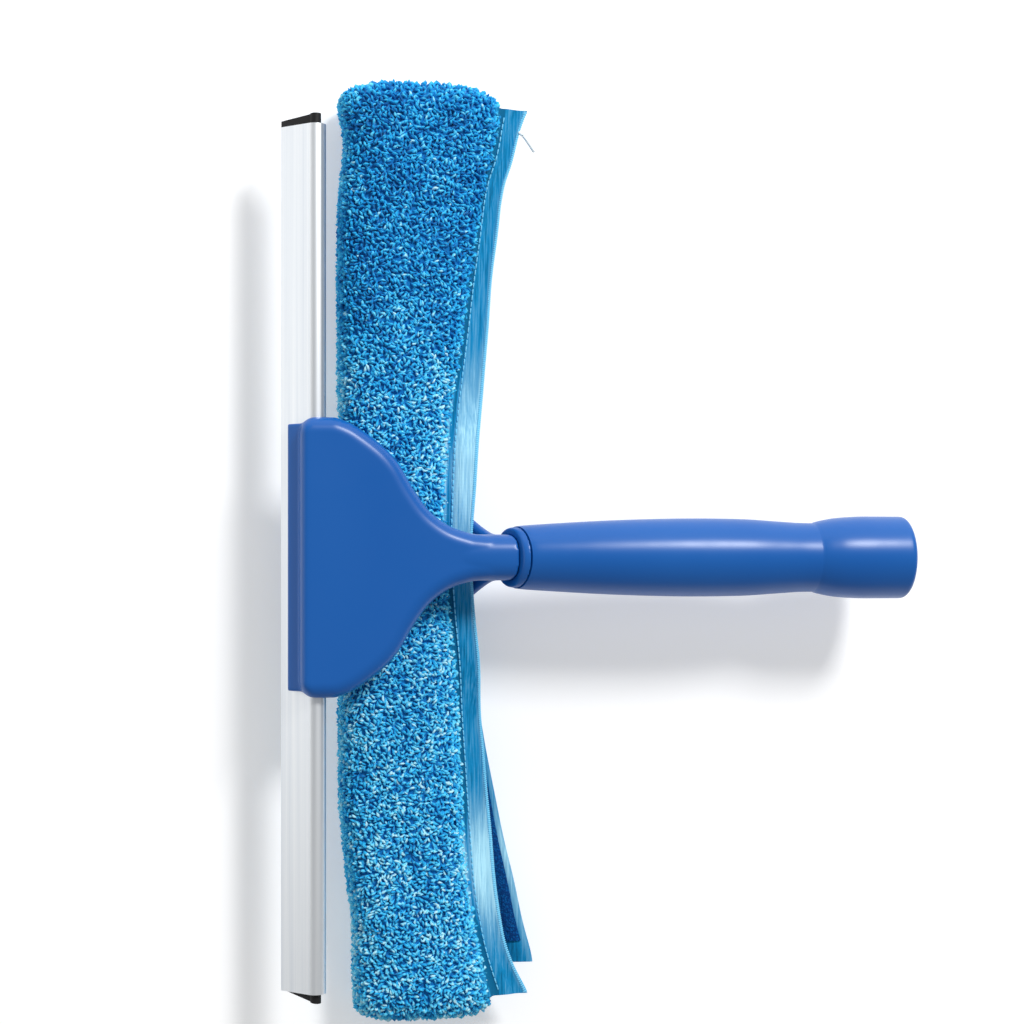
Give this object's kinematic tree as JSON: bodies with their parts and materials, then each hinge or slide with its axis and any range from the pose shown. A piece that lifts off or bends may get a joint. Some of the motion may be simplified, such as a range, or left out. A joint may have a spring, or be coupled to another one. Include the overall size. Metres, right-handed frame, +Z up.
{
  "type": "window cleaning squeegee",
  "caption": "Window tool with a rubber blade in an aluminium channel and a microfibre scrubber, both on one tapered handle that takes a pole.",
  "frame": {"origin": "under the middle of the bounding box, on the plane that the tool lies on", "axes": "+X from the blade to the handle's pole end, +Y along the blade, +Z up, away from the scrubber's face that it lies on"},
  "size_m": [0.227, 0.336, 0.051],
  "materials": {
    "blue_plastic": "satin moulded polypropylene, mid blue",
    "aluminium": "extruded, satin, fine lines along its length",
    "black_rubber": "matt natural rubber",
    "steel": "zinc-plated screws",
    "grey_plastic": "matt moulded plastic",
    "blue_pile": "looped microfibre pile, mixed blues",
    "blue_border": "flat woven border, light blue",
    "fastener_tape": "hook and loop tape, dark blue"
  },
  "bodies": {
    "head": {"squeegee_head": "blue_plastic", "rear_jaw": "blue_plastic", "jaw_screw_lower": "steel", "jaw_screw_upper": "steel", "blade_channel": "aluminium"},
    "blade": {"rubber_blade": "black_rubber"},
    "scrubber": {"scrubber_arm": "blue_plastic", "bar_tube": "grey_plastic", "bar_cap_lower": "grey_plastic", "bar_cap_upper": "grey_plastic", "bar_screw_lower": "steel", "bar_screw_upper": "steel", "sleeve_pile": "blue_pile", "hem_front": "blue_border", "hem_rear": "blue_border", "hook_strip_lower": "fastener_tape", "hook_strip_upper": "fastener_tape", "loop_strip_lower": "fastener_tape", "loop_strip_upper": "fastener_tape"},
    "handle": {"handle_tube": "blue_plastic", "pole_socket_liner": "grey_plastic"}
  },
  "joints": [
    {"name": "blade_slide", "type": "slide", "parent": "head", "child": "blade", "axis": [0, 1, 0], "range_m": [-0.3, 0.3]},
    {"name": "scrubber_slide", "type": "slide", "parent": "head", "child": "scrubber", "axis": [1, 0, 0], "range_m": [0, 0.06]},
    {"name": "handle_slide", "type": "slide", "parent": "scrubber", "child": "handle", "axis": [1, 0, 0], "range_m": [0, 0.06]}
  ]
}
